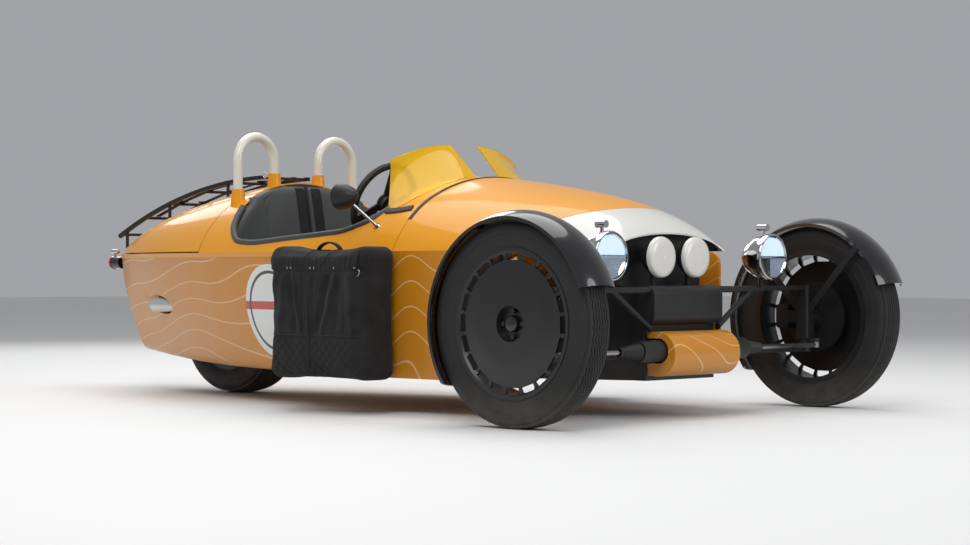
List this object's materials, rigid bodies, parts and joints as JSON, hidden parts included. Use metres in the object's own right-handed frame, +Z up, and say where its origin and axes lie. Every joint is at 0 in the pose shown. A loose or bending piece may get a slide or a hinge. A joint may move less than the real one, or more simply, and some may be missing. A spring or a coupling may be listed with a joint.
{
  "type": "three wheeled car",
  "caption": "Open three-wheeled roadster: steered front wheels under turning mudguards, driven rear wheel, aero screens, roll hoops, panniers and a hinged boot lid with luggage rack.",
  "frame": {"origin": "floor level, under the middle of the car's overall box", "axes": "+X forward, +Y to the car's left, +Z up"},
  "size_m": [3.581, 1.848, 1.0879],
  "materials": {
    "body_orange": "gloss paint",
    "body_ochre": "satin paint",
    "cowl_white": "gloss paint",
    "gloss_black": "gloss",
    "satin_black": "satin paint",
    "tyre_black": "matt",
    "hoop_cream": "gloss paint",
    "chrome_trim": "polished",
    "lamp_glass": "clear",
    "lamp_red": "gloss",
    "lamp_amber": "gloss",
    "screen_amber": "tinted clear",
    "seat_grey": "matt",
    "bag_black": "woven",
    "interior_black": "matt",
    "bare_metal": "satin",
    "mirror_glass": "silvered",
    "pipe_steel": "brushed"
  },
  "bodies": {
    "chassis": {"tub": "body_ochre", "cockpit_surround": "body_orange", "bonnet": "body_orange", "nose_cowl": "cowl_white", "roll_hoops": "hoop_cream", "bulkheads": "interior_black", "boot_floor": "interior_black", "swing_arm": "satin_black", "engine_block": "bare_metal", "dashboard": "interior_black", "seat_cushions": "seat_grey", "seat_backs": "seat_grey", "side_blades": "body_ochre", "panniers": "bag_black", "front_casting": "satin_black", "front_bumper": "body_ochre", "steering_rack": "satin_black", "wishbones": "satin_black", "headlamps": "gloss_black", "headlamp_lenses": "lamp_glass", "spot_lamps": "satin_black", "spot_covers": "cowl_white", "indicators": "chrome_trim", "tail_lamps": "satin_black", "tail_lenses": "lamp_red", "plate_holder": "body_ochre", "exhaust_pipe": "pipe_steel", "mirrors": "gloss_black", "mirror_glasses": "mirror_glass", "aero_screens": "screen_amber"},
    "boot_lid": {"boot_lid": "body_orange", "luggage_rack": "satin_black"},
    "tie_rods": {"tie_rods": "chrome_trim"},
    "knuckle_right": {"knuckle_right": "satin_black", "mudguard_right": "gloss_black"},
    "knuckle_left": {"knuckle_left": "satin_black", "mudguard_left": "gloss_black"},
    "wheel_front_right": {"wheel_front_right": "satin_black", "tyre_front_right": "tyre_black"},
    "wheel_front_left": {"wheel_front_left": "satin_black", "tyre_front_left": "tyre_black"},
    "wheel_rear": {"wheel_rear": "satin_black", "tyre_rear": "tyre_black"},
    "steering_wheel": {"steering_wheel": "interior_black"}
  },
  "joints": [
    {"name": "steer_right", "type": "hinge", "parent": "chassis", "child": "knuckle_right", "pos_m": [1.43718, -0.762, 0.346], "axis": [0, 0, 1], "range_deg": [-25, 25]},
    {"name": "steer_left", "type": "hinge", "parent": "chassis", "child": "knuckle_left", "pos_m": [1.43718, 0.762, 0.346], "axis": [0, 0, 1], "range_deg": [-25, 25]},
    {"name": "rack_slide", "type": "slide", "parent": "chassis", "child": "tie_rods", "axis": [0, 1, 0], "range_m": [-0.0215, 0.0215]},
    {"name": "steering_wheel_turn", "type": "hinge", "parent": "chassis", "child": "steering_wheel", "pos_m": [0.14718, -0.22, 0.785], "axis": [-0.9272, 0, 0.3746], "range_deg": [-375, 375]},
    {"name": "spin_front_right", "type": "hinge", "parent": "knuckle_right", "child": "wheel_front_right", "pos_m": [1.43718, -0.84, 0.346], "axis": [0, 1, 0], "continuous": true},
    {"name": "spin_front_left", "type": "hinge", "parent": "knuckle_left", "child": "wheel_front_left", "pos_m": [1.43718, 0.84, 0.346], "axis": [0, 1, 0], "continuous": true},
    {"name": "spin_rear", "type": "hinge", "parent": "chassis", "child": "wheel_rear", "pos_m": [-0.95282, 0, 0.305], "axis": [0, 1, 0], "continuous": true},
    {"name": "boot_lid_open", "type": "hinge", "parent": "chassis", "child": "boot_lid", "pos_m": [-1.71482, 0, 0.602], "axis": [0, -1, 0], "range_deg": [0, 60]}
  ],
  "couplings": [
    {"joint": "steer_left", "follows": "steer_right", "ratio": 1},
    {"joint": "rack_slide", "follows": "steer_right", "m_per_rad": 0.048428},
    {"joint": "steering_wheel_turn", "follows": "steer_right", "ratio": 15}
  ]
}
